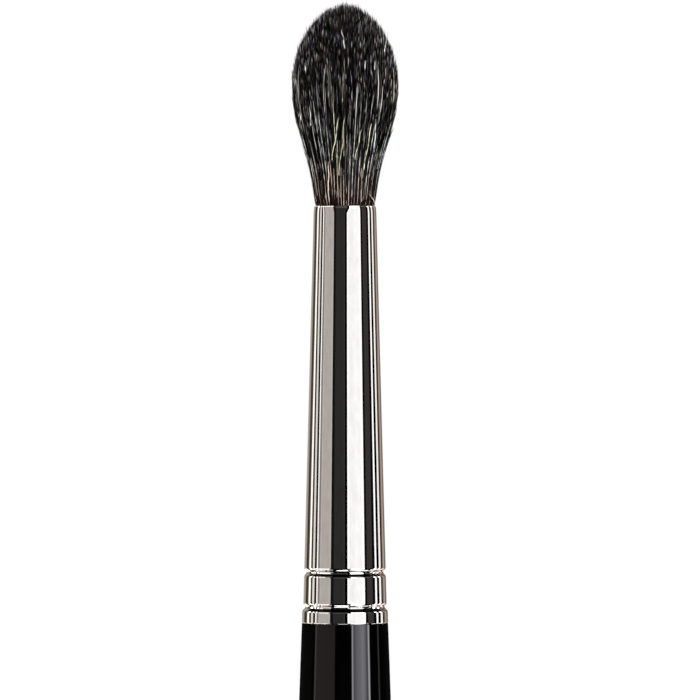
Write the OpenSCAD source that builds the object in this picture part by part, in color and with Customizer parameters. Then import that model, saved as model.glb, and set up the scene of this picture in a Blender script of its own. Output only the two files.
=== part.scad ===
// Eyeshadow brush: a drop-shaped head of hair in a tapered metal ferrule, crimped on a turned, lacquered handle.
// It lies on the belly of its head and on the belly of its handle, with the head towards +X.
// Lengths are in millimetres, and heights along the brush count from the end of the ferrule at the handle.

/* [Head] */
// Widest diameter of the hair
head_d = 10.1; // [9:0.1:12]
// Length of the hair from the mouth of the ferrule to the tip
hair_len = 19.4; // [17:0.2:24]
// Height of the widest place above the mouth
head_rise = 11.6; // [9:0.2:13]
// Number of strands that stand for the hair
strand_count = 330; // [300:5:330]
// Length over which a strand tapers to its point
strand_tip_len = 1.8; // [1:0.1:3]
// How much shorter than the dome a strand may be
strand_play = 0.5; // [0:0.1:0.8]

/* [Root] */
// How far the top of the packed root lies inside the mouth
root_drop = 0.15; // [0.15:0.05:0.5]
// Thickness of the slice of root that the strands grow from
root_slice = 1; // [0.6:0.1:2]
// Depth of the root's end inside the mouth
root_len = 12; // [10:0.5:14]
// Clearance of the packed hair in the bore
hair_gap = 0.06; // [0.05:0.01:0.12]
// Height of the middle of the tie above the root's end
tie_back = 3; // [2:0.25:3.5]
// Width of the tie
tie_w = 2; // [1:0.25:2.5]
// How far the tie draws the root in
tie_depth = 0.4; // [0.2:0.05:0.6]
// How far the thread stands proud of the root
thread_proud = 0.12; // [0.05:0.01:0.2]
// Length of root that the resin goes round
soak_len = 5; // [4.75:0.25:6]
// Thickness of the resin round the root
resin_wall = 0.3; // [0.25:0.05:0.5]
// Length of the resin plug behind the root
plug_len = 2.5; // [1:0.5:4]

/* [Ferrule] */
// Length of the ferrule
ferrule_len = 40; // [38:0.5:50]
// Diameter that the cone of the ferrule reaches at the mouth
mouth_d = 6; // [5.4:0.1:6.6]
// Diameter that the cone of the ferrule reaches at the handle
ferrule_end_d = 8.1; // [7.8:0.1:8.6]
// Wall of the tube
ferrule_wall = 0.25; // [0.2:0.05:0.35]
// How far the mouth is drawn in from the cone
mouth_draw = 0.05; // [0:0.01:0.08]
// Length over which the mouth is drawn in
mouth_draw_len = 0.8; // [0.5:0.1:1.5]
// How much the last band stands out from the cone
band_swell = 0.1; // [0:0.02:0.16]
// Rounding of the ferrule's outer edge at the handle
band_round = 0.08; // [0.04:0.01:0.12]
// Height of the first crimp
crimp_height = 1.5; // [1.2:0.05:2.5]
// Distance between the two crimps
crimp_pitch = 3.35; // [2.5:0.05:5]
// Width of a crimp with its soft shoulders
crimp_w = 1; // [0.8:0.05:1.5]
// Depth of a crimp
crimp_depth = 0.24; // [0.1:0.02:0.34]

/* [Handle] */
// Length of the handle from the ferrule to the tail
handle_len = 115.6; // [100:0.2:140]
// Diameter of the handle at the ferrule
shoulder_d = 8.3; // [8.3:0.1:9]
// Rounding of the lacquer at the ferrule
shoulder_round = 0.1; // [0.05:0.01:0.15]
// Distance from the ferrule to the belly
belly_back = 40; // [30:1:50]
// Length of the straight belly
belly_len = 8; // [4:1:12]
// Diameter of the tail
tail_d = 4.4; // [3.6:0.2:6]
// Thickness of the lacquer
lacquer_t = 0.2; // [0.1:0.05:0.25]
// Length of the tenon in the ferrule
tenon_len = 16; // [12:0.5:18]
// Chamfer of the tenon's end
tenon_chamfer = 0.6; // [0.3:0.1:1]
// Thickness of the glue round the tenon
glue_t = 0.1; // [0.06:0.02:0.16]

/* [Hidden] */

$fn = 96;
overrun = 0.2;

// The handle's belly is as wide as the head, so the brush lies level on both.
head_r = head_d / 2;
belly_r = head_r;
mouth_r = mouth_d / 2;
band_r = ferrule_end_d / 2;
shoulder_r = shoulder_d / 2;
tail_r = tail_d / 2;
lip_r = ferrule_wall / 2;

brush_middle = (ferrule_len + hair_len - handle_len) / 2;
crimps = [crimp_height, crimp_height + crimp_pitch];
slice_top = ferrule_len - root_drop;
root_top = slice_top - root_slice;
root_end = ferrule_len - root_len;
soak_top = root_end + soak_len;
tie_middle = root_end + tie_back;
plug_end = root_end - plug_len;
belly_front = -belly_back;
belly_rear = belly_front - belly_len;
tail_centre = tail_r - handle_len;

// How softly the shoulders of a crimp begin: 1 is a plain wave, and more is softer
crimp_softness = 3 / 2;

// Number of straight steps in each curved stretch of a profile
crimp_steps = 20;
tie_steps = 10;
mouth_steps = 6;
swell_steps = 10;
taper_steps = 18;
round_steps = 6;

// The strands stand like the seeds of a sunflower, each in its own plane through the axis.
strand_turn = 180 * (3 - sqrt(5));
strand_sides = 3;
// Half the width of a strand, as a share of the spacing of the strands
strand_fill_share = 0.68;
// Heights of a strand's bends, as shares of the height of the widest place
strand_bend_shares = [0.4, 0.92];
// How far up the dome the outer hair curls in before it ends, as a share of the dome
curl_share = 0.4;

// A wave from 1 at t = 0 to 0 at t = 1, level at both ends
function ease(t) = (1 + cos(180 * t)) / 2;
// A smooth bump of height 1 and the given width round middle
function bump(z, middle, width) = abs(z - middle) < width / 2 ? ease(2 * abs(z - middle) / width) : 0;
function along(from, to, steps) = [for (i = [0 : steps]) from + (to - from) * i / steps];
function reversed(list) = [for (i = [1 : len(list)]) list[len(list) - i]];
// Points of an arc round [r, z], as rings of a revolved profile
function arc(r, z, radius, from, to) =
    [for (a = along(from, to, round_steps)) [r + radius * cos(a), z + radius * sin(a)]];

// Ferrule: a straight cone, a wider last band, the crimps and the mouth drawn in
function cone_r(z) = band_r + (mouth_r - band_r) * z / ferrule_len;
function band_share(z) = ease(min(1, max(0, (z - crimp_height) / crimp_w + 1 / 2)));
function crimp_cut(z) = crimp_depth * max([for (c = crimps) pow(bump(z, c, crimp_w), crimp_softness)]);
function mouth_cut(z) = mouth_draw * pow(max(0, 1 - (ferrule_len - z) / mouth_draw_len), 2);
function ferrule_r(z) = cone_r(z) + band_swell * band_share(z) - crimp_cut(z) - mouth_cut(z);
function bore_r(z) = ferrule_r(z) - ferrule_wall;
function tenon_r(z) = bore_r(z) - glue_t;
crimp_heights = [for (c = crimps) each along(c - crimp_w / 2, c + crimp_w / 2, crimp_steps)];
lip_z = ferrule_len - lip_r;
mouth_heights = along(ferrule_len - mouth_draw_len, lip_z, mouth_steps);

// Root: the packed hair fills the bore, then stands off from it in the resin, drawn in by the tie
function soaked_r(z) = bore_r(z) - resin_wall;
function root_r(z) = soaked_r(z) - tie_depth * bump(z, tie_middle, tie_w);
function thread_r(z) = soaked_r(z) + thread_proud * bump(z, tie_middle, tie_w);
tie_heights = along(tie_middle - tie_w / 2, tie_middle + tie_w / 2, tie_steps);

// Handle: it swells from the shoulder to the belly, then draws in to a slim round tail
function handle_r(z) =
    z > belly_front ? shoulder_r + (belly_r - shoulder_r) * sin(90 * z / belly_front)
    : z > belly_rear ? belly_r
    : tail_r + (belly_r - tail_r) * ease((z - belly_rear) / (tail_centre - belly_rear));
handle_heights = concat(
    along(tail_centre, belly_rear, taper_steps),
    along(belly_front, 0, swell_steps)
);
// The handle's outline from the tail's tip up to the shoulder, inset by the given thickness
function handle_outline(inset) = concat(
    arc(0, tail_centre, tail_r - inset, -90, 0),
    [for (z = handle_heights) if (z > tail_centre && z < 0) [handle_r(z) - inset, z]]
);

// Head: the outer hair swells from the bore to the widest place and then follows the dome for a while
head_dome = hair_len - head_rise;
function dome_share(u) = sqrt(1 - u * u);
root_fan_r = bore_r(ferrule_len) - hair_gap;
function fan_r(h) =
    h < 0 ? root_fan_r
    : h < head_rise ? head_r + (mouth_r - head_r) * ease(h / head_rise)
    : head_r * dome_share(min(curl_share, (h - head_rise) / head_dome));

function strand_share(i) = sqrt((i + 1 / 2) / strand_count);
// A strand ends where its share of the fan meets the dome.
function strand_end(i) =
    head_rise + head_dome * sqrt(1 - pow(strand_share(i) * dome_share(curl_share), 2))
    - strand_play * (i * strand_turn / 360 % 1);
function strand_half_w(h) = strand_fill_share * fan_r(h) / sqrt(strand_count);
// The corners of a strand's cross-section at height h, with one corner outwards
function strand_ring(i, h) =
    let (
        w = strand_half_w(h),
        a = i * strand_turn,
        r = strand_share(i) * (fan_r(h) - w)
    )
    [for (k = [0 : strand_sides - 1])
        let (corner = a + 360 * k / strand_sides)
        [r * cos(a) + w * cos(corner), r * sin(a) + w * sin(corner), h]];
function strand_tip(i) =
    let (h = strand_end(i), a = i * strand_turn, r = strand_share(i) * fan_r(h))
    [r * cos(a), r * sin(a), h];

module along_x() {
    translate([-brush_middle, 0, belly_r]) rotate([0, 90, 0]) children();
}

module turned(profile) {
    along_x() rotate_extrude() polygon(profile);
}

module strand(i) {
    bends = [for (share = strand_bend_shares) share * head_rise];
    heights = concat([-root_drop - overrun], bends, [strand_end(i) - strand_tip_len]);
    points = concat([for (h = heights) each strand_ring(i, h)], [strand_tip(i)]);
    top = (len(heights) - 1) * strand_sides;
    sides = [for (j = [0 : len(heights) - 2], k = [0 : strand_sides - 1])
        let (
            a = j * strand_sides + k,
            b = j * strand_sides + (k + 1) % strand_sides
        )
        each [[a, a + strand_sides, b + strand_sides], [a, b + strand_sides, b]]];
    point = [for (k = [0 : strand_sides - 1]) [top + k, len(points) - 1, top + (k + 1) % strand_sides]];
    polyhedron(points, concat([[0, 1, 2]], sides, point));
}

module hair_tuft() {
    color("#2c2625") along_x() translate([0, 0, ferrule_len]) union() {
        slice_radii = [bore_r(root_top) - hair_gap, bore_r(slice_top) - hair_gap];
        translate([0, 0, -root_drop - root_slice])
            cylinder(h = root_slice, r1 = slice_radii[0], r2 = slice_radii[1], $fn = 32);
        for (i = [0 : strand_count - 1]) strand(i);
    }
}

module hair_root() {
    color("#3a2f2a") turned(concat(
        [[0, root_end], [root_r(root_end), root_end]],
        [for (z = tie_heights) [root_r(z), z]],
        [
            [soaked_r(soak_top), soak_top],
            [bore_r(soak_top) - hair_gap, soak_top],
            [bore_r(root_top) - hair_gap, root_top],
            [0, root_top]
        ]
    ));
}

module binding_thread() {
    inner = [for (z = tie_heights) [root_r(z), z]];
    outer = [for (i = [1 : tie_steps - 1]) [thread_r(tie_heights[i]), tie_heights[i]]];
    color("#e8e2d0") turned(concat(inner, reversed(outer)));
}

module root_resin() {
    color("#c9a04a") turned(concat(
        [[0, plug_end], [bore_r(plug_end), plug_end], [bore_r(soak_top), soak_top], [soaked_r(soak_top), soak_top]],
        reversed([for (z = tie_heights) [thread_r(z), z]]),
        [[root_r(root_end), root_end], [0, root_end]]
    ));
}

module ferrule() {
    heights = concat(crimp_heights, [for (i = [0 : mouth_steps - 1]) mouth_heights[i]]);
    foot = arc(ferrule_r(0) - band_round, band_round, band_round, -90, 0);
    lip = arc(ferrule_r(lip_z) - lip_r, lip_z, lip_r, 0, 180);
    outer = [for (z = heights) [ferrule_r(z), z]];
    inner = concat([[bore_r(0), 0]], [for (z = heights) [bore_r(z), z]]);
    color("#c8c6c2") turned(concat(foot, outer, lip, reversed(inner)));
}

module tenon_glue() {
    end = tenon_len - tenon_chamfer;
    heights = concat([0], crimp_heights, [end]);
    outer = [for (z = heights) [bore_r(z), z]];
    inner = [for (z = heights) [tenon_r(z), z]];
    color("#d8c890") turned(concat(inner, reversed(outer)));
}

module handle_core() {
    chamfer_z = tenon_len - tenon_chamfer;
    color("#c8a06a") turned(concat(
        handle_outline(lacquer_t),
        [[shoulder_r - lacquer_t, 0], [tenon_r(0), 0]],
        [for (z = crimp_heights) [tenon_r(z), z]],
        [[tenon_r(chamfer_z), chamfer_z], [tenon_r(tenon_len) - tenon_chamfer, tenon_len], [0, tenon_len]]
    ));
}

module handle_lacquer() {
    corner = shoulder_r - shoulder_round;
    outer = concat(handle_outline(0), arc(corner, -shoulder_round, shoulder_round, 0, 90));
    inner = concat(handle_outline(lacquer_t), [[shoulder_r - lacquer_t, 0]]);
    color("#121113") turned(concat(outer, reversed(inner)));
}

hair_tuft();
hair_root();
binding_thread();
root_resin();
ferrule();
tenon_glue();
handle_core();
handle_lacquer();
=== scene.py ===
"""The photograph's eyeshadow brush: dark natural hair, a polished ferrule and a black lacquered handle.

The brush lies on a pale floor with its axis along +X, and the camera looks straight down on it.
Blender works in metres, and the hair is laid out in millimetres along and round the brush's axis.
"""

import math

import bpy
import numpy as np
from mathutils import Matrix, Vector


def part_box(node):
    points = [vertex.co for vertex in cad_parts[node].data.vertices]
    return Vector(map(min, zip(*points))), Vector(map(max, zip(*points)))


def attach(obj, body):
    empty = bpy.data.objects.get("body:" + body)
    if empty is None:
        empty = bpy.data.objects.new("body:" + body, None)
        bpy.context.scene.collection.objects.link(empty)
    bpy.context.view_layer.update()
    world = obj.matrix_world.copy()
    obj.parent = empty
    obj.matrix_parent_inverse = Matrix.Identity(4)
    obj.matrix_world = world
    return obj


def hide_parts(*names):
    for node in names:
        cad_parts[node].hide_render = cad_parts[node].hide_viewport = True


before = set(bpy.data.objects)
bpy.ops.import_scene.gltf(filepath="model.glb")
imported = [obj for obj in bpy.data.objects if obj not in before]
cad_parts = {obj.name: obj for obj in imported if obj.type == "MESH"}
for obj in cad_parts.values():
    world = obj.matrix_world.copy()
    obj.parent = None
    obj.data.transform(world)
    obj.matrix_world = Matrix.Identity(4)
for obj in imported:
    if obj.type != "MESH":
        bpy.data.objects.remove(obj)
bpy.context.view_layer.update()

MM = 0.001

# Where the brush stands in the frame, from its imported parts
ferrule_low, ferrule_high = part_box("ferrule")
mouth_x = ferrule_high.x
axis_z = (ferrule_low.z + ferrule_high.z) / 2
hair_tip_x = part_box("hair_tuft")[1].x

# The photograph's framing
PHOTO_PX = 700
MM_PER_PX = 0.096
MOUTH_ROW_PX = 206
AXIS_COLUMN_PX = 345
CAMERA_RISE = 0.6


def link(obj):
    bpy.context.scene.collection.objects.link(obj)
    return obj


def photo_place(column, row):
    """The point on the brush's axis plane that the photograph shows at this pixel, as (x, y)."""
    x = mouth_x + (MOUTH_ROW_PX - row) * MM_PER_PX * MM
    y = (AXIS_COLUMN_PX - column) * MM_PER_PX * MM
    return x, y


def make_camera():
    camera = link(bpy.data.objects.new("camera", bpy.data.cameras.new("camera")))
    x, y = photo_place(PHOTO_PX / 2, PHOTO_PX / 2)
    camera.location = (x, y, axis_z + CAMERA_RISE)
    camera.rotation_euler = (0, 0, -math.pi / 2)
    camera.data.lens = camera.data.sensor_width * CAMERA_RISE / (PHOTO_PX * MM_PER_PX * MM)
    bpy.context.scene.camera = camera


make_camera()


# Shader helpers

class Shader:
    """A node tree with short names for what the materials here need."""

    def __init__(self, tree):
        self.nodes = tree.nodes
        self.links = tree.links

    def node(self, kind, **settings):
        made = self.nodes.new(kind)
        for key, value in settings.items():
            setattr(made, key, value)
        return made

    def join(self, source, target):
        self.links.new(source, target)

    def feed(self, socket, value):
        """Sets a socket to a value, or joins it to another node's output."""
        if hasattr(value, "links"):
            self.join(value, socket)
        elif value is not None:
            socket.default_value = value

    def math(self, operation, a, b=None, clamp=False):
        made = self.node("ShaderNodeMath", operation=operation, use_clamp=clamp)
        self.feed(made.inputs[0], a)
        self.feed(made.inputs[1], b)
        return made.outputs[0]

    def vector(self, operation, a, b=None):
        """A vector sum or product, or the number that a dot product or a length gives."""
        made = self.node("ShaderNodeVectorMath", operation=operation)
        self.feed(made.inputs[0], a)
        self.feed(made.inputs["Scale" if operation == "SCALE" else 1], b)
        return made.outputs["Value" if operation in ("DOT_PRODUCT", "LENGTH") else "Vector"]

    def split(self, vector):
        """A vector's three parts, one along each axis."""
        made = self.node("ShaderNodeSeparateXYZ")
        self.join(vector, made.inputs[0])
        return made.outputs

    def mix(self, how, a, b, factor=1.0):
        """Two colours, sockets or values, blended."""
        made = self.node("ShaderNodeMix", data_type="RGBA", blend_type=how)
        self.feed(made.inputs["Factor"], factor)
        self.feed(made.inputs["A"], a)
        self.feed(made.inputs["B"], b)
        return made.outputs["Result"]

    def places(self, stretch=(1, 1, 1)):
        """Coordinates in metres in the brush's frame, stretched along each axis."""
        where = self.node("ShaderNodeTexCoord")
        mapping = self.node("ShaderNodeMapping")
        mapping.inputs["Scale"].default_value = stretch
        self.join(where.outputs["Object"], mapping.inputs["Vector"])
        return mapping.outputs["Vector"]

    def noise(self, cells, detail, roughness=0.5):
        """A noise with this many cells in a metre along each axis."""
        made = self.node("ShaderNodeTexNoise")
        made.inputs["Scale"].default_value = 1.0
        made.inputs["Detail"].default_value = detail
        made.inputs["Roughness"].default_value = roughness
        self.join(self.places(cells), made.inputs["Vector"])
        return made.outputs["Fac"]

    def ramp(self, factor, stops, interpolation="LINEAR"):
        """A colour ramp through stops, a list of (place, colour)."""
        made = self.node("ShaderNodeValToRGB")
        made.color_ramp.interpolation = interpolation
        elements = made.color_ramp.elements
        while len(elements) < len(stops):
            elements.new(0.5)
        for element, (place, colour) in zip(elements, stops):
            element.position = place
            element.color = (*colour, 1.0)
        self.join(factor, made.inputs["Fac"])
        return made.outputs["Color"]

    def ramp_place(self, value, reach):
        """Where a value between -reach and reach lies on a ramp."""
        return self.math("ADD", self.math("DIVIDE", value, 2 * reach), 0.5)

    def blend(self, noise, low, high, span=0.2):
        """One colour where a noise is low and another where it is high, blended across its middle."""
        return self.ramp(noise, [(0.5 - span, low), (0.5 + span, high)])

    def bump(self, height, target, strength, distance, base=None):
        """Joins a bumped normal to a socket, on top of a base normal where one is given."""
        made = self.node("ShaderNodeBump")
        made.inputs["Strength"].default_value = strength
        made.inputs["Distance"].default_value = distance
        self.join(height, made.inputs["Height"])
        if base:
            self.join(base, made.inputs["Normal"])
        self.join(made.outputs["Normal"], target)


def new_material(name):
    """A material, its shader helper and its surface node."""
    material = bpy.data.materials.new(name)
    material.use_nodes = True
    shader = Shader(material.node_tree)
    return material, shader, material.node_tree.nodes["Principled BSDF"]


def grey(level):
    return (level, level, level)


WHITE = (*grey(1.0), 1)


# Stage: floor, world and lamps

FLOOR_SIZE = 4.0
FLOOR_DROP = 0.02 * MM
FLOOR_GLOW = 0.87
# Away from the brush the floor glows as white as the backdrop, so that no edge shows between the two
FAR_FROM = 0.12
FAR_OVER = 0.30
FLOOR_TONE = 0.15


def pale_floor():
    """A matt surface with a glow of its own that only the camera sees."""
    material, shader, surface = new_material("pale_floor")
    output = shader.nodes["Material Output"]
    shader.nodes.remove(surface)
    diffuse = shader.node("ShaderNodeBsdfDiffuse")
    diffuse.inputs["Color"].default_value = (*grey(FLOOR_TONE), 1)
    glow = shader.node("ShaderNodeEmission")
    ray = shader.node("ShaderNodeLightPath")
    out = shader.vector("LENGTH", shader.places())
    far = shader.math("DIVIDE", shader.math("SUBTRACT", out, FAR_FROM), FAR_OVER, clamp=True)
    level = shader.math("ADD", shader.math("MULTIPLY", far, 1 - FLOOR_GLOW), FLOOR_GLOW)
    shader.join(shader.math("MULTIPLY", ray.outputs["Is Camera Ray"], level), glow.inputs["Strength"])
    both = shader.node("ShaderNodeAddShader")
    shader.join(diffuse.outputs[0], both.inputs[0])
    shader.join(glow.outputs[0], both.inputs[1])
    shader.join(both.outputs[0], output.inputs["Surface"])
    return material


def make_floor():
    mesh = bpy.data.meshes.new("floor")
    half = FLOOR_SIZE / 2
    corners = [(x * half, y * half, -FLOOR_DROP) for x, y in ((-1, -1), (1, -1), (1, 1), (-1, 1))]
    mesh.from_pydata(corners, [], [(0, 1, 2, 3)])
    mesh.materials.append(pale_floor())
    floor = link(bpy.data.objects.new("floor", mesh))
    floor.visible_glossy = False


# The angles in the tables below go up to half a turn each way
HALF_TURN = 180

# What polished metal mirrors, by the angle in degrees round the brush's axis: 0 is overhead, and
# positive angles lie to the picture's right. Each entry is where a band ends and its light.
METAL_BANDS = [
    (-151, (0.52, 0.48, 0.45)),
    (-141, (0.42, 0.37, 0.32)),
    (-132, (0.05, 0.033, 0.018)),
    (-123.5, (0.14, 0.10, 0.065)),
    (-112.8, (1.60, 1.60, 1.58)),
    (-105, (0.055, 0.05, 0.04)),
    (-97, (1.12, 1.04, 0.95)),
    (-88, (0.020, 0.016, 0.012)),
    (-83, (1.60, 1.60, 1.58)),
    (-76, (0.34, 0.31, 0.28)),
    (-72, (0.72, 0.66, 0.61)),
    (-47, (0.62, 0.575, 0.545)),
    (-42.1, (0.68, 0.64, 0.60)),
    (-33.5, (0.010, 0.009, 0.009)),
    (-5, (0.035, 0.035, 0.033)),
    (-1.2, (0.046, 0.046, 0.043)),
    (6.9, (0.0, 0.0, 0.0)),
    (11, (1.65, 1.65, 1.65)),
    (30, (1.39, 1.39, 1.385)),
    (50, (1.44, 1.44, 1.44)),
    (56.8, (1.65, 1.65, 1.65)),
    (64, (0.003, 0.003, 0.003)),
    (84, (0.052, 0.047, 0.045)),
    (93.5, (0.004, 0.003, 0.003)),
    (100.4, (1.65, 1.65, 1.65)),
    (112.5, (0.0, 0.0, 0.0)),
    (122, (1.40, 1.37, 1.32)),
    (130.5, (0.020, 0.013, 0.009)),
    (137, (0.26, 0.19, 0.15)),
    (148.5, (0.58, 0.46, 0.40)),
    (160, (0.17, 0.12, 0.09)),
    (180, (0.36, 0.33, 0.31)),
]

# What the clear coat of the lacquer mirrors: the light at each angle, blended from one to the next
COAT_LIGHTS = [
    (-180, (0.01, 0.01, 0.01)),
    (-100, (0.025, 0.025, 0.025)),
    (-86.7, (0.0, 0.0, 0.0)),
    (-83.8, (0.95, 0.84, 0.80)),
    (-81.8, (0.95, 0.84, 0.80)),
    (-80, (0.40, 0.32, 0.31)),
    (-27, (0.37, 0.30, 0.29)),
    (-25.5, (0.0, 0.0, 0.0)),
    (16.8, (0.0, 0.0, 0.0)),
    (19.1, (6.6, 6.4, 6.9)),
    (20.5, (6.6, 6.4, 6.9)),
    (22.2, (1.35, 1.30, 1.50)),
    (26, (1.80, 1.76, 2.00)),
    (33, (2.70, 2.65, 2.95)),
    (41, (3.10, 3.00, 3.30)),
    (47, (3.90, 3.85, 4.15)),
    (55, (2.65, 2.60, 2.80)),
    (58, (1.30, 1.30, 1.35)),
    (61.5, (1.20, 1.20, 1.30)),
    (63.6, (7.0, 6.9, 7.3)),
    (66.6, (7.0, 6.9, 7.3)),
    (68.2, (0.0, 0.0, 0.0)),
    (95, (0.0, 0.0, 0.0)),
    (97, (0.55, 0.55, 0.57)),
    (99, (0.55, 0.55, 0.57)),
    (101.5, (0.0, 0.0, 0.0)),
    (135, (0.015, 0.015, 0.015)),
    (180, (0.01, 0.01, 0.01)),
]

# How the metal's bands change as the mirrored ray leans along the axis, from the tail's side to the
# hair's. Each entry is where a stretch of lean ends, how strongly light bands and dark bands show
# there, and the light that fills the dark bands. At the steepest leans towards the tail, light and dark
# change places. Bright rims lie on both sides of the level middle.
LEAN_MIDDLE = 0.04
LEAN_FULL = 1.1
LEANS = [
    (-0.86, 0.0, 0.0, 3.0),
    (-0.50, 1.6, 0.5, 0.0),
    (-0.20, 3.5, 0.0, 0.0),
    (0.20, 1.0, 1.0, 0.0),
    (0.45, 3.5, 3.5, 0.0),
    (1.10, 0.8, 0.8, 0.0),
]
# Bands with less light than this count as dark
DARK_BAND = 0.2
# The bands flare from this angle, in the widest dark one, by this share as the ray leans. The flare is
# full on the bands near that angle, and fades over the last stretch of its reach. It starts at a small
# lean and is soon full.
FLARE_MIDDLE = math.radians(-25)
FLARE_SHARE = 0.25
FLARE_REACH = math.radians(80)
FLARE_FADE = math.radians(35)
FLARE_FROM = 0.05
FLARE_OVER = 0.16
# The even light from all round, for every ray that is neither mirrored nor the camera's own
AMBIENT = 0.45


def stop_place(value, reach):
    """Where a value between -reach and reach lies on a ramp."""
    return value / reach / 2 + 0.5


def band_stops(bands, reach):
    """Ramp stops for bands given by where each ends, from -reach to reach."""
    starts = [-reach] + [end for end, light in bands[:-1]]
    return [(stop_place(start, reach), light) for start, (end, light) in zip(starts, bands)]


def make_world():
    """The world is white for the camera, banded for mirrored rays and even for all others."""
    world = bpy.data.worlds.new("studio")
    bpy.context.scene.world = world
    world.use_nodes = True
    shader = Shader(world.node_tree)
    background = world.node_tree.nodes["Background"]
    where = shader.node("ShaderNodeTexCoord")
    along, left, up = shader.split(where.outputs["Generated"])
    angle = shader.math("ARCTAN2", shader.math("MULTIPLY", left, -1.0), up)
    lean = shader.math("SUBTRACT", along, LEAN_MIDDLE)

    leaning = shader.math("SUBTRACT", shader.math("ABSOLUTE", lean), FLARE_FROM)
    flare = shader.math("DIVIDE", leaning, FLARE_OVER, clamp=True)
    off = shader.math("SUBTRACT", angle, FLARE_MIDDLE)
    within = shader.math("SUBTRACT", FLARE_REACH, shader.math("ABSOLUTE", off))
    near = shader.math("DIVIDE", within, FLARE_FADE, clamp=True)
    share = shader.math("MULTIPLY", shader.math("MULTIPLY", flare, near), FLARE_SHARE)
    squeeze = shader.math("SUBTRACT", 1.0, share)
    flared = shader.math("ADD", shader.math("MULTIPLY", off, squeeze), FLARE_MIDDLE)
    metal_turn = shader.ramp_place(flared, math.pi)
    bands = shader.ramp(metal_turn, band_stops(METAL_BANDS, HALF_TURN), "CONSTANT")

    lean_place = shader.ramp_place(lean, LEAN_FULL)
    leans = [(end, (light, dark, fill)) for end, light, dark, fill in LEANS]
    changes = shader.node("ShaderNodeSeparateColor")
    shader.join(shader.ramp(lean_place, band_stops(leans, LEAN_FULL), "CONSTANT"), changes.inputs[0])
    on_light, on_dark, fill = changes.outputs
    level = shader.node("ShaderNodeRGBToBW")
    shader.join(bands, level.inputs[0])
    is_dark = shader.math("LESS_THAN", level.outputs[0], DARK_BAND)
    strength = shader.mix("MIX", on_light, on_dark, is_dark)
    filled = shader.math("MULTIPLY", fill, is_dark)
    metal = shader.mix("ADD", shader.mix("MULTIPLY", bands, strength), filled)

    coat_turn = shader.ramp_place(angle, math.pi)
    coat_stops = [(stop_place(place, HALF_TURN), light) for place, light in COAT_LIGHTS]
    coat = shader.ramp(coat_turn, coat_stops)

    ray = shader.node("ShaderNodeLightPath")
    glossy = shader.mix("MIX", metal, coat, ray.outputs["Is Singular Ray"])
    unlit = shader.mix("MIX", (*grey(AMBIENT), 1), glossy, ray.outputs["Is Glossy Ray"])
    seen = shader.mix("MIX", unlit, WHITE, ray.outputs["Is Camera Ray"])
    shader.join(seen, background.inputs["Color"])


LAMP_DISTANCE = 0.5
LAMP_LENGTH = 1.8


def make_lamp(name, from_angle, to_angle, radiance, tint):
    """A long soft box over the brush that covers these angles round its axis, in degrees."""
    middle = math.radians((from_angle + to_angle) / 2)
    half = math.radians((to_angle - from_angle) / 2)
    data = bpy.data.lights.new(name, "AREA")
    data.shape = "RECTANGLE"
    data.size = LAMP_LENGTH
    data.size_y = 2 * LAMP_DISTANCE * math.tan(half)
    data.color = tint
    data.energy = radiance * math.pi * data.size * data.size_y
    lamp = link(bpy.data.objects.new(name, data))
    lamp.location = (
        mouth_x,
        -LAMP_DISTANCE * math.sin(middle),
        axis_z + LAMP_DISTANCE * math.cos(middle),
    )
    lamp.rotation_euler = (-middle, 0, 0)
    lamp.visible_camera = False
    lamp.visible_glossy = False


make_floor()
make_world()
make_lamp("key", from_angle=-26, to_angle=30, radiance=2.4, tint=grey(1.0))
make_lamp("fill", from_angle=-78, to_angle=-40, radiance=0.17, tint=(1.0, 0.93, 0.87))


# Hair, in millimetres

# The head's outline: its radius at the widest place, at the mouth's lip and in the bore, how soon it
# spreads from the bore to the lip, the height of the widest place, and how round the dome above it is.
# A height, h, is measured along the axis from the ferrule's mouth.
HEAD_R = 5.05
MOUTH_R = 3.0
BORE_R = 2.66
SPREAD_LEN = 0.35
HAIR_LEN = (hair_tip_x - mouth_x) / MM
RISE = 11.6
DOME = HAIR_LEN - RISE
DOME_POWER = 0.55
OUTLINE_SAMPLES = 600
# The fan of hairs is a disc of radius 1 that widens with h, and a hair keeps its place in it until it
# meets the outline. Above this height the outer hairs have ended, and the fan splays ever less.
CLIP_START = 9.2
SPLAY_LEN = 3.5
# Each hair: how deep in the bore it starts, its sides, its half width, and the shares of its length at
# which its rings lie, closer together towards its tip
ROOT_DEPTH = 0.6
HAIR_SIDES = 3
HAIR_HALF_W = 0.045
STATIONS = np.concatenate([np.linspace(0, 0.8, 7), [0.87, 0.92, 0.955, 0.98, 1.0]])
# It thins where the fan is packed and towards its tip, which keeps this share of its width
PACKED_POWER = 0.5
TIP_POWER = 0.7
TIP_SHARE = 0.12
# It sways in waves of these lengths and heights, and past this share of its length it leans aside
WAVE_LENS = (5, 11)
WAVES = (0.01, 0.06)
LEAN_FROM = 0.75
TIP_LEAN = 0.07
GOLDEN_TURN = math.pi * (3 - math.sqrt(5))

rng = np.random.default_rng(11)


def outline(h):
    """The radius of the head at height h."""
    ease = (1 + np.cos(np.pi * np.clip(h / RISE, 0, 1))) / 2
    swell = HEAD_R + (MOUTH_R - HEAD_R) * ease
    squeeze = (MOUTH_R - BORE_R) * np.exp(-np.maximum(h, 0) / SPREAD_LEN)
    u = np.clip((h - RISE) / DOME, 0, 1)
    return np.where(h < RISE, swell - squeeze, HEAD_R * (1 - u * u) ** DOME_POWER)


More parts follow.
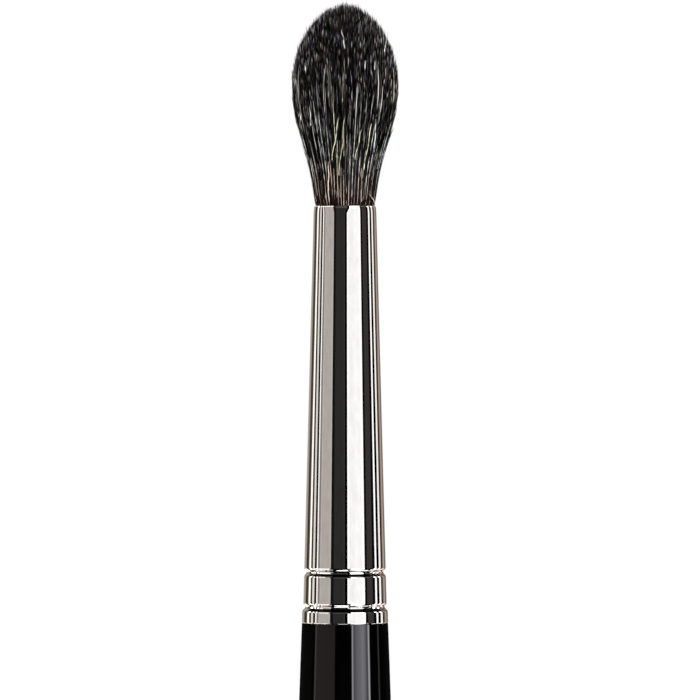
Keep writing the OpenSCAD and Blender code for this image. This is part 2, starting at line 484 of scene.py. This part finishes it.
def fan_radius(h):
    """How wide the fan of hairs is at height h. Past where the outer ones end, it goes on splaying."""
    slope = (HEAD_R - MOUTH_R) * np.pi / 2 / RISE * np.sin(np.pi * CLIP_START / RISE)
    past = np.maximum(h - CLIP_START, 0)
    splay = slope * SPLAY_LEN * (1 - np.exp(-past / SPLAY_LEN))
    return outline(np.minimum(h, CLIP_START)) + splay


def hair_end(share):
    """The height at which a hair this far out in the fan meets the head's outline."""
    h = np.linspace(CLIP_START, HAIR_LEN, OUTLINE_SAMPLES)
    meets = outline(h) / fan_radius(h)
    return np.interp(share, meets[::-1], h[::-1])


def sunflower(count):
    """Evenly spread places in a disc of radius 1."""
    index = np.arange(count)
    share = np.sqrt((index + 0.5) / count)
    turn = index * GOLDEN_TURN
    return np.stack([share * np.cos(turn), share * np.sin(turn)], axis=-1)


def nearest(places, targets):
    """For each place, the index of the nearest target."""
    apart = (targets ** 2).sum(-1)[None, :] - 2 * places @ targets.T
    return apart.argmin(1)


def surface_radius(h):
    """The fan's radius, held within the head's outline."""
    return np.minimum(fan_radius(h), outline(h))


def hair_lines(place, end, drawn_to, clump, wave, radius=fan_radius):
    """Centre lines of hairs, as (hair, ring, xyz), and each ring's height. Each hair bends from its own
    place towards the one that it is drawn to, by its clump, and sways by its wave."""
    count = len(place)
    h = -ROOT_DEPTH + (end[:, None] + ROOT_DEPTH) * STATIONS[None, :]
    grown = np.clip(h / end[:, None], 0, 1)
    pull = (clump[:, None] * grown ** 2)[..., None]
    at = place[:, None, :] * (1 - pull) + drawn_to[:, None, :] * pull
    across = at * (radius(h) - HAIR_HALF_W)[..., None]
    phase = rng.uniform(0, 2 * np.pi, (count, 1, 2))
    length = rng.uniform(*WAVE_LENS, (count, 1, 2))
    sway = np.sin(2 * np.pi * h[..., None] / length + phase)
    across = across + (wave[:, None] * grown)[..., None] * sway
    lean = rng.normal(0, TIP_LEAN, (count, 1, 2))
    across = across + lean * (np.maximum(grown - LEAN_FROM, 0) / (1 - LEAN_FROM))[..., None]
    return np.concatenate([h[..., None], across], axis=-1), h


def hair_mesh(name, lines, half_w, tone):
    """One mesh of tapered hairs round their centre lines. half_w and tone are (hair, ring). The lowest
    hairs lie on the surface under the brush."""
    count, rings = half_w.shape
    lines[:, :, 2] = np.maximum(lines[:, :, 2], half_w - axis_z / MM)
    corner = 2 * np.pi * np.arange(HAIR_SIDES) / HAIR_SIDES
    facing = np.arctan2(lines[:, :, 2], lines[:, :, 1])[:, :, None] + corner
    points = np.repeat(lines[:, :, None, :], HAIR_SIDES, axis=2)
    points[..., 1] += half_w[:, :, None] * np.cos(facing)
    points[..., 2] += half_w[:, :, None] * np.sin(facing)
    vertices = points.reshape(-1, 3) * MM
    vertices += np.array([mouth_x, 0, axis_z])

    base = (np.arange(count) * rings * HAIR_SIDES)[:, None, None]
    ring = (np.arange(rings - 1) * HAIR_SIDES)[None, :, None]
    side = np.arange(HAIR_SIDES)[None, None, :]
    after = (side + 1) % HAIR_SIDES
    low, high = base + ring, base + ring + HAIR_SIDES
    quads = np.stack([low + side, low + after, high + after, high + side], axis=-1).reshape(-1, 4)
    root = (base[:, 0] + np.arange(HAIR_SIDES)[::-1]).reshape(-1, HAIR_SIDES)
    tip = (base[:, 0] + (rings - 1) * HAIR_SIDES + np.arange(HAIR_SIDES)).reshape(-1, HAIR_SIDES)
    corners = np.concatenate([quads.ravel(), root.ravel(), tip.ravel()])
    sizes = np.concatenate([np.full(len(quads), 4), np.full(2 * count, HAIR_SIDES)])
    return mesh_object(name, vertices, corners, sizes, np.repeat(tone.ravel(), HAIR_SIDES))


def mesh_object(name, vertices, corners, sizes, tone):
    """A smooth-shaded object from vertices in metres, the faces' corners in one row, and each face's
    size. Each vertex also carries a tone for the material."""
    starts = np.concatenate([[0], np.cumsum(sizes)[:-1]])
    mesh = bpy.data.meshes.new(name)
    mesh.vertices.add(len(vertices))
    mesh.vertices.foreach_set("co", vertices.astype(np.float32).ravel())
    mesh.loops.add(len(corners))
    mesh.loops.foreach_set("vertex_index", corners.astype(np.int32))
    mesh.polygons.add(len(sizes))
    mesh.polygons.foreach_set("loop_start", starts.astype(np.int32))
    mesh.update(calc_edges=True)
    mesh.shade_smooth()
    mesh.attributes.new("tone", "FLOAT", "POINT").data.foreach_set("value", tone.astype(np.float32))
    return link(bpy.data.objects.new(name, mesh))


def hair_widths(h, end, thickness, tip_len):
    """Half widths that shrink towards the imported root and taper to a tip."""
    packed = np.clip(fan_radius(h) / HEAD_R, 0, 1) ** PACKED_POWER
    tip = np.clip((end - h) / tip_len, 0, 1) ** TIP_POWER
    return HAIR_HALF_W * thickness * packed * (TIP_SHARE + (1 - TIP_SHARE) * tip)


# Each family of hairs: its tint, its tint at the root, the length in millimetres of the patches along a
# hair, how dim a hair gets between them, and its shine
DARK_ROOT = (18.0, 6.6, 5.6)
PALE_ROOT = (1.25, 1.05, 0.98)
HAIR_FAMILIES = {
    "hair_ink": ((1.00, 0.96, 0.95), DARK_ROOT, 3.0, 0.35, 0.02),
    "hair_coal": ((1.06, 0.98, 0.92), DARK_ROOT, 3.0, 0.35, 0.02),
    "hair_navy": ((0.90, 0.91, 1.17), DARK_ROOT, 3.0, 0.35, 0.03),
    "hair_umber": ((1.28, 0.94, 0.88), DARK_ROOT, 3.0, 0.35, 0.03),
    "hair_smoke": ((0.98, 0.98, 0.94), DARK_ROOT, 3.0, 0.35, 0.02),
    "hair_dusk": ((1.22, 0.97, 0.90), DARK_ROOT, 3.0, 0.35, 0.02),
    "hair_grey": ((1.03, 0.99, 0.97), PALE_ROOT, 5.5, 0.30, 0.25),
    "hair_cream": ((1.07, 1.03, 0.76), PALE_ROOT, 5.5, 0.30, 0.30),
    "hair_ice": ((0.88, 1.01, 1.04), PALE_ROOT, 5.5, 0.30, 0.30),
    "hair_tan": ((1.24, 0.97, 0.66), PALE_ROOT, 5.5, 0.30, 0.25),
}
# Which shares the families have of the bulk, of the specks on the dome and of the pale lines
BULK_SHARES = {"hair_ink": 0.30, "hair_coal": 0.28, "hair_navy": 0.20, "hair_umber": 0.22}
SPECK_SHARES = {"hair_navy": 0.15, "hair_smoke": 0.50, "hair_dusk": 0.35}
LINE_SHARES = {"hair_grey": 0.66, "hair_cream": 0.24, "hair_ice": 0.10}
ROOT_TINT_LEN = 4.5 * MM
# Patches in a metre across the hairs, and the noise levels between which they turn light
PATCHES_ACROSS = 6000
PATCH_DIM_AT = 0.40
PATCH_FULL_AT = 0.54
HAIR_ROUGHNESS = (grey(0.55), grey(0.38))
HAIR_IOR = 1.55


def hair_material(name, tint, root_tint, patch, dimmest, shine):
    """Hair of one tint, as light as its mesh's tone says, in patches and tinted at the root."""
    material, shader, surface = new_material(name)
    cells = (1 / (patch * MM), PATCHES_ACROSS, PATCHES_ACROSS)
    wander = shader.noise(cells, detail=1.5, roughness=0.6)
    patches = shader.ramp(wander, [(PATCH_DIM_AT, grey(dimmest)), (PATCH_FULL_AT, grey(1.0))])
    colour = shader.mix("MULTIPLY", patches, (*tint, 1))
    own = shader.node("ShaderNodeAttribute", attribute_name="tone")
    colour = shader.mix("MULTIPLY", colour, own.outputs["Fac"])
    above_mouth = shader.math("SUBTRACT", shader.split(shader.places())["X"], mouth_x)
    past_root = shader.math("DIVIDE", above_mouth, ROOT_TINT_LEN, clamp=True)
    root = shader.mix("MIX", (*root_tint, 1), WHITE, past_root)
    shader.join(shader.mix("MULTIPLY", colour, root), surface.inputs["Base Color"])
    shader.join(shader.blend(wander, *HAIR_ROUGHNESS), surface.inputs["Roughness"])
    surface.inputs["IOR"].default_value = HAIR_IOR
    surface.inputs["Specular IOR Level"].default_value = shine
    scales = shader.noise(cells=(900, 20000, 20000), detail=1.0)
    shader.bump(scales, surface.inputs["Normal"], strength=0.3, distance=0.01 * MM)
    return material


def deal(shares, order):
    """The order of hairs split into families by their shares."""
    ends = np.round(np.cumsum(list(shares.values())) * len(order)).astype(int)
    return dict(zip(shares, np.split(order, ends[:-1])))


# The lightest tone that a hair can have
TONE_MOST = 0.95


def tones(middle, spread, count):
    """Random tones whose middle one is given, wider spread above it than below."""
    return np.minimum(middle * np.exp(rng.normal(0, spread, count)), TONE_MOST)


# The bulk: dark hairs that fill this share of the fan, in small locks. A lock's hairs are drawn
# together towards their ends, and end at about one height.
HAIR_COUNT = 6800
BULK_SHARE = 0.985
LOCK_COUNT = 1800
LOCK_PLAY = 0.13
CLUMP = 0.55
CLUMP_PLAY = (0.6, 1.2)
# Most hairs end short of the outline, by this much on average
SHORTER = 0.22
BULK_WIDTHS = (0.75, 1.25)
# This share is long and fine and fringes the head, at most by so many millimetres at its tip and its
# side
FRINGE_SHARE = 0.25
FRINGE_TIP = 0.25
FRINGE_SIDE = 1.1
FRINGE_WIDTHS = (0.5, 0.9)
# The hairs' ends have many tones, over a short last stretch
BULK_TONE = 0.0007
BULK_TONE_SPREAD = 1.8
END_TONE = 0.0011
END_TONE_SPREAD = 1.9
FRINGE_TONE = 0.035
END_LEN = 0.6
END_FADE = 0.3
TIP_LEN = 1.8


def end_toned(base, tip, h, end, pale_len, fade):
    """Each hair's tone at each ring: base, but tip over the last stretch."""
    near = np.clip((h - end[:, None] + pale_len) / fade, 0, 1)
    return base[:, None] + (tip - base)[:, None] * near


def bulk_hair():
    """The bulk's centre lines, half widths and tones, and which of its hairs each family has."""
    place = sunflower(HAIR_COUNT) * BULK_SHARE
    inset = 0.5 / math.sqrt(LOCK_COUNT)
    locks = sunflower(LOCK_COUNT) * (1 - inset) * BULK_SHARE
    lock = nearest(place, locks)
    share = np.hypot(*place.T)
    long = rng.random(HAIR_COUNT) < FRINGE_SHARE
    further = rng.uniform(0, 1, HAIR_COUNT) * (FRINGE_TIP + (FRINGE_SIDE - FRINGE_TIP) * share ** 3)
    end = hair_end(share) + np.where(long, further, -rng.exponential(SHORTER, HAIR_COUNT))
    end = end + rng.normal(0, LOCK_PLAY, LOCK_COUNT)[lock]
    clump = CLUMP * rng.uniform(*CLUMP_PLAY, LOCK_COUNT)[lock]
    lines, h = hair_lines(place, end, locks[lock], clump, rng.uniform(*WAVES, HAIR_COUNT))

    fine = rng.uniform(*FRINGE_WIDTHS, HAIR_COUNT)
    thickness = np.where(long, fine, rng.uniform(*BULK_WIDTHS, HAIR_COUNT))
    half_w = hair_widths(h, end[:, None], thickness[:, None], TIP_LEN)
    base = tones(BULK_TONE, BULK_TONE_SPREAD, HAIR_COUNT)
    tip = tones(np.where(long, FRINGE_TONE, END_TONE), END_TONE_SPREAD, HAIR_COUNT)
    tone = end_toned(base, tip, h, end, END_LEN, END_FADE)
    return lines, half_w, tone, deal(BULK_SHARES, rng.permutation(HAIR_COUNT))


# Pale specks: hairs with short pale ends, spread evenly over the dome and a little way down the side.
# The pale ends are partly the hairs' own pale tips and partly painted highlight for the glints on the
# tips.
SPECK_COUNT = 3600
SPECK_FROM = 7.0
# How much further than the outline they end, at most
SPECK_PROUD = 0.15
SPECK_TONE = 0.15
SPECK_TONE_SPREAD = 1.3
SPECK_LENS = (0.15, 0.5)
SPECK_FADE = 0.12
# The length of their pale ends and their tone at the lowest place, as shares of those at the tip
SPECK_LONGER = 2.6
SPECK_DIMMER = 0.3
SPECK_WIDTHS = (0.6, 0.92)
SPECK_TIP_LEN = 0.25


def dome_ends(count):
    """Heights that spread hair ends evenly over the dome, and how far out in the fan the hairs are."""
    h = np.linspace(HAIR_LEN, SPECK_FROM, OUTLINE_SAMPLES)
    radius = outline(h)
    ring = (radius[1:] + radius[:-1]) / 2 * np.hypot(np.diff(h), np.diff(radius))
    area = np.concatenate([[0], np.cumsum(ring)])
    end = np.interp((np.arange(count) + 0.5) / count, area / area[-1], h)
    return end, outline(end) / fan_radius(end)


def speck_hair():
    """The specks, in the same form as the bulk."""
    end, share = dome_ends(SPECK_COUNT)
    turn = np.arange(SPECK_COUNT) * GOLDEN_TURN
    place = share[:, None] * np.stack([np.cos(turn), np.sin(turn)], axis=-1)
    end = end + rng.uniform(0, SPECK_PROUD, SPECK_COUNT)
    loose = np.zeros(SPECK_COUNT)
    lines, h = hair_lines(place, end, place, loose, rng.uniform(*WAVES, SPECK_COUNT))
    thickness = rng.uniform(*SPECK_WIDTHS, SPECK_COUNT)
    half_w = hair_widths(h, end[:, None], thickness[:, None], SPECK_TIP_LEN)
    down = (HAIR_LEN - np.minimum(end, HAIR_LEN)) / (HAIR_LEN - SPECK_FROM)
    # The pale tip tone is partly painted highlight, and it is dimmer lower down the dome
    tip = tones(SPECK_TONE, SPECK_TONE_SPREAD, SPECK_COUNT) * (1 - (1 - SPECK_DIMMER) * down)
    pale_len = (rng.uniform(*SPECK_LENS, SPECK_COUNT) * (1 + (SPECK_LONGER - 1) * down))[:, None]
    tone = end_toned(np.full(SPECK_COUNT, BULK_TONE), tip, h, end, pale_len, SPECK_FADE)
    return lines, half_w, tone, deal(SPECK_SHARES, rng.permutation(SPECK_COUNT))


# Pale lines near the head's surface: how many there are, how far out in the fan they stand, their
# middle tone, how far down from their ends they are pale, and between which heights they end. Their
# pale tone is partly the hairs' own colour and partly painted highlight for the glints along the hairs.
LINE_LAYERS = [
    (50, (1.002, 1.010), 0.85, (9.0, 16.0), (6.5, 14.0)),
    (84, (0.996, 1.009), 0.36, (2.0, 6.0), (3.0, 15.0)),
    (50, (0.92, 0.985), 0.29, (1.0, 3.0), (12.0, 16.0)),
    (78, (0.997, 1.006), 0.48, (3.0, 7.0), (2.5, 9.0)),
    (160, (0.995, 1.006), 0.13, (0.3, 1.5), (5.5, 9.5)),
    (200, (0.985, 1.0), 0.020, (1.0, 4.0), (1.5, 14.0)),
]
LINE_TONE_SPREAD = 0.6
# How much sparser than even the lines are at the head's two sides
LINE_SPARSE = 0.30
# How far a line strays from its even place, in steps from one line to the next
LINE_PLAY = 0.2
LINE_FADE = 1.5
LINE_WAVES = (0.02, 0.06)
LINE_WIDTHS = (0.62, 0.95)


def line_hair(count, shares, middle, pale_lens, ends):
    """One layer of pale lines, in the same form."""
    turn = 2 * np.pi * (np.arange(count) + rng.uniform(-LINE_PLAY, LINE_PLAY, count)) / count
    turn = turn + LINE_SPARSE * np.sin(2 * turn) / 2
    share = rng.uniform(*shares, count)
    place = share[:, None] * np.stack([np.cos(turn), np.sin(turn)], axis=-1)
    end = rng.uniform(*ends, count)
    wave = rng.uniform(*LINE_WAVES, count)
    lines, h = hair_lines(place, end, place, np.zeros(count), wave, surface_radius)
    thickness = rng.uniform(*LINE_WIDTHS, count)
    half_w = hair_widths(h, end[:, None], thickness[:, None], TIP_LEN)
    # Partly painted highlight: the lines' pale tone also stands in for glints along the hairs
    tip = tones(middle, LINE_TONE_SPREAD, count)
    pale_len = rng.uniform(*pale_lens, count)[:, None]
    tone = end_toned(np.full(count, BULK_TONE), tip, h, end, pale_len, LINE_FADE)
    return lines, half_w, tone, deal(LINE_SHARES, rng.permutation(count))


# Single pale hairs on the head's near side: each runs down from (column, row) to (column, row) in the
# photograph, and has a tone, a half width in millimetres and a kink in millimetres
STRAYS = {
    "hair_grey": [
        ((341.6, 31.4), (344.7, 48.2), 0.95, 0.060, 0.05),
        ((386.0, 42.0), (384.5, 51.0), 0.95, 0.055, 0.0),
        ((365.3, 62.7), (365.0, 69.0), 0.95, 0.050, 0.0),
        ((375.0, 62.7), (374.5, 69.6), 0.95, 0.050, 0.0),
        ((305.3, 65.0), (305.7, 71.0), 0.95, 0.050, 0.0),
        ((299.5, 112.0), (301.0, 120.0), 0.83, 0.050, 0.0),
        ((310.0, 107.0), (311.0, 125.0), 0.83, 0.050, 0.03),
        ((369.0, 194.0), (374.5, 202.0), 0.95, 0.045, 0.0),
    ],
    "hair_cream": [
        ((339.0, 119.0), (332.0, 160.0), 0.95, 0.050, 0.05),
        ((345.0, 118.0), (339.0, 175.0), 0.74, 0.045, 0.05),
        ((361.5, 131.0), (355.0, 160.0), 0.95, 0.050, 0.04),
        ((371.5, 125.0), (364.0, 169.0), 0.95, 0.050, 0.04),
    ],
    "hair_ice": [((376.0, 123.0), (374.0, 152.0), 0.95, 0.050, 0.03)],
    "hair_tan": [
        ((328.6, 163.0), (328.6, 190.0), 0.83, 0.055, 0.04),
        ((361.5, 169.0), (361.5, 202.0), 0.58, 0.050, 0.04),
    ],
}
# They lie this far above the outline, and sink by this much over a last stretch towards the root
STRAY_LIFT = 0.16
STRAY_SUNK = 1.0
STRAY_SUNK_LEN = 0.8
# A kinked one bends this many times, and each narrows to this share of its width over its last stretch
STRAY_BENDS = 3
STRAY_TIP_SHARE = 0.3
STRAY_TIP_LEN = 0.4


def stray_hair(strays):
    """Strays lie along the head's surface and dip into the hair towards the root."""
    top, bottom, tone, half_w, kink = (np.array(column) for column in zip(*strays))
    height = (MOUTH_ROW_PX - np.stack([bottom[:, 1], top[:, 1]])) * MM_PER_PX
    aside = (AXIS_COLUMN_PX - np.stack([bottom[:, 0], top[:, 0]])) * MM_PER_PX
    start = height[0] - STRAY_SUNK_LEN
    h = start[:, None] + (height[1] - start)[:, None] * STATIONS[None, :]
    seen = (h - height[0][:, None]) / (height[1] - height[0])[:, None]
    shown = np.clip(seen, 0, 1)
    bend = kink[:, None] * np.sin(STRAY_BENDS * np.pi * shown)
    y = aside[0][:, None] + (aside[1] - aside[0])[:, None] * shown + bend
    dip = np.clip((height[0][:, None] - h) / STRAY_SUNK_LEN, 0, 1)
    z = np.sqrt(np.maximum(outline(h) ** 2 - y ** 2, 0)) + STRAY_LIFT - STRAY_SUNK * dip
    lines = np.stack([h, y, z], axis=-1)
    tip = np.clip((height[1][:, None] - h) / STRAY_TIP_LEN, 0, 1)
    widths = half_w[:, None] * (STRAY_TIP_SHARE + (1 - STRAY_TIP_SHARE) * tip)
    return lines, widths, np.broadcast_to(tone[:, None], h.shape), np.arange(len(strays))


def make_hair():
    batches = [bulk_hair(), speck_hair(), *(line_hair(*layer) for layer in LINE_LAYERS)]
    for name, strays in STRAYS.items():
        *stray, every = stray_hair(strays)
        batches.append((*stray, {name: every}))
    for name, look in HAIR_FAMILIES.items():
        own = [(parts, dealt[name]) for *parts, dealt in batches if name in dealt]
        chosen = [[part[hairs] for part in parts] for parts, hairs in own]
        piece = hair_mesh(name, *(np.concatenate(parts) for parts in zip(*chosen)))
        piece.data.materials.append(hair_material(name, *look))
        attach(piece, "root")
        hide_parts("hair_tuft")


make_hair()


# Finishes of the rigid parts

def dress(node, material):
    """Gives a node of the frame this material alone."""
    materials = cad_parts[node].data.materials
    materials.clear()
    materials.append(material)


def turned_normal(shader):
    """A turned surface's normal: it slopes as the mesh does, and points exactly away from the axis."""
    normal = shader.node("ShaderNodeNewGeometry").outputs["Normal"]
    from_axis = shader.vector("SUBTRACT", shader.places(), (0, 0, axis_z))
    outward = shader.vector("NORMALIZE", shader.vector("MULTIPLY", from_axis, (0, 1, 1)))
    along = shader.vector("MULTIPLY", normal, (1, 0, 0))
    slope = shader.vector("LENGTH", along)
    level = shader.math("SQRT", shader.math("SUBTRACT", 1.0, shader.math("MULTIPLY", slope, slope)))
    side = shader.math("SIGN", shader.vector("DOT_PRODUCT", normal, outward))
    upright = shader.vector("SCALE", outward, shader.math("MULTIPLY", level, side))
    return shader.vector("ADD", along, upright)


# The plating's deeper and lighter tones, and its roughness from smoother places to rougher ones
PLATING_TONES = ((0.63, 0.615, 0.60), (0.70, 0.69, 0.68))
PLATING_ROUGHNESS = (grey(0.029), grey(0.045))
# The crimps lie within this stretch from the ferrule's end. Their sides that face the hair carry
# painted
# shade: the plating's colour darkens to this as the normal leans over this range, in place of the shade
# in the grooves.
CRIMPS_FROM = 0.3 * MM
CRIMPS_TO = 8 * MM
SHADE = 0.003
SHADE_FROM = 0.38
SHADE_TO = 0.50


def plated_metal():
    material, shader, surface = new_material("plated_metal")
    surface.inputs["Metallic"].default_value = 1.0
    tone = shader.noise(cells=(900, 2500, 2500), detail=4.0)
    colour = shader.blend(tone, *PLATING_TONES)
    normal = turned_normal(shader)
    slope = shader.split(normal)["X"]
    place = shader.split(shader.places())["X"]
    above = shader.math("GREATER_THAN", place, ferrule_low.x + CRIMPS_FROM)
    below = shader.math("LESS_THAN", place, ferrule_low.x + CRIMPS_TO)
    facing = shader.math("MULTIPLY", slope, shader.math("MULTIPLY", above, below))
    # Painted shade: the crimps' sides that face the hair are darkened in the plating's colour
    painted_shade = shader.ramp(facing, [(SHADE_FROM, grey(1.0)), (SHADE_TO, grey(SHADE))])
    shader.join(shader.mix("MULTIPLY", colour, painted_shade), surface.inputs["Base Color"])
    rough = shader.noise(cells=(400, 3000, 3000), detail=3.0)
    shader.join(shader.blend(rough, *PLATING_ROUGHNESS), surface.inputs["Roughness"])
    ripple = shader.noise(cells=(3500, 1200, 1200), detail=3.0)
    shader.bump(ripple, surface.inputs["Normal"], strength=0.02, distance=0.02 * MM, base=normal)
    return material


# The paint's deeper and lighter blacks and its roughness, and the clear coat's refraction
PAINT_TONES = (grey(0.0003), grey(0.0009))
PAINT_ROUGHNESS = (grey(0.42), grey(0.56))
COAT_IOR = 1.52


def black_lacquer():
    """Black paint under a clear coat. The coat has no roughness, so its mirrored rays are sharp."""
    material, shader, surface = new_material("black_lacquer")
    tone = shader.noise(cells=(300, 900, 900), detail=3.0)
    shader.join(shader.blend(tone, *PAINT_TONES), surface.inputs["Base Color"])
    rough = shader.noise(cells=(700, 1500, 1500), detail=2.0)
    shader.join(shader.blend(rough, *PAINT_ROUGHNESS), surface.inputs["Roughness"])
    surface.inputs["Specular IOR Level"].default_value = 0.0
    surface.inputs["Coat Weight"].default_value = 1.0
    surface.inputs["Coat Roughness"].default_value = 0.0
    surface.inputs["Coat IOR"].default_value = COAT_IOR
    ripple = shader.noise(cells=(260, 500, 500), detail=1.0)
    normal = turned_normal(shader)
    shader.bump(ripple, surface.inputs["Coat Normal"], strength=0.03, distance=0.05 * MM, base=normal)
    return material


# Inner stuffs have a deep and a light tone each, blended this far each way of a noise's middle
STUFF_SPAN = 0.15
WOOD_TONES = ((0.42, 0.27, 0.13), (0.66, 0.48, 0.28))
WOOD_ROUGHNESS = 0.6


def turned_wood():
    material, shader, surface = new_material("turned_wood")
    grain = shader.noise(cells=(60, 2600, 2600), detail=5.0)
    shader.join(shader.blend(grain, *WOOD_TONES, STUFF_SPAN), surface.inputs["Base Color"])
    surface.inputs["Roughness"].default_value = WOOD_ROUGHNESS
    shader.bump(grain, surface.inputs["Normal"], strength=0.2, distance=0.05 * MM)
    return material


# Each node's material: its name, deep and light tones, roughness, and noise cells along each axis
MOTTLED_STUFFS = {
    "hair_root": ("packed_hair", (0.010, 0.008, 0.007), (0.050, 0.038, 0.030), 0.6, (200, 7000, 7000)),
    "binding_thread": ("binding_thread", (0.60, 0.55, 0.44), (0.80, 0.76, 0.66), 0.7, (6000, 800, 800)),
    "root_resin": ("root_resin", (0.45, 0.30, 0.10), (0.62, 0.45, 0.20), 0.25, (900, 900, 900)),
    "tenon_glue": ("tenon_glue", (0.60, 0.50, 0.30), (0.74, 0.65, 0.44), 0.4, (1200, 1200, 1200)),
}


def mottled(name, deep, light, roughness, cells):
    """A plain cast or wound stuff with a mottled tone: resin, glue, thread or packed hair."""
    material, shader, surface = new_material(name)
    tone = shader.noise(cells, detail=3.0)
    shader.join(shader.blend(tone, deep, light, STUFF_SPAN), surface.inputs["Base Color"])
    surface.inputs["Roughness"].default_value = roughness
    shader.bump(tone, surface.inputs["Normal"], strength=0.3, distance=0.05 * MM)
    return material


dress("ferrule", plated_metal())
dress("handle_lacquer", black_lacquer())
dress("handle_core", turned_wood())
for node, stuff in MOTTLED_STUFFS.items():
    dress(node, mottled(*stuff))

bpy.context.scene.view_settings.view_transform = "Standard"
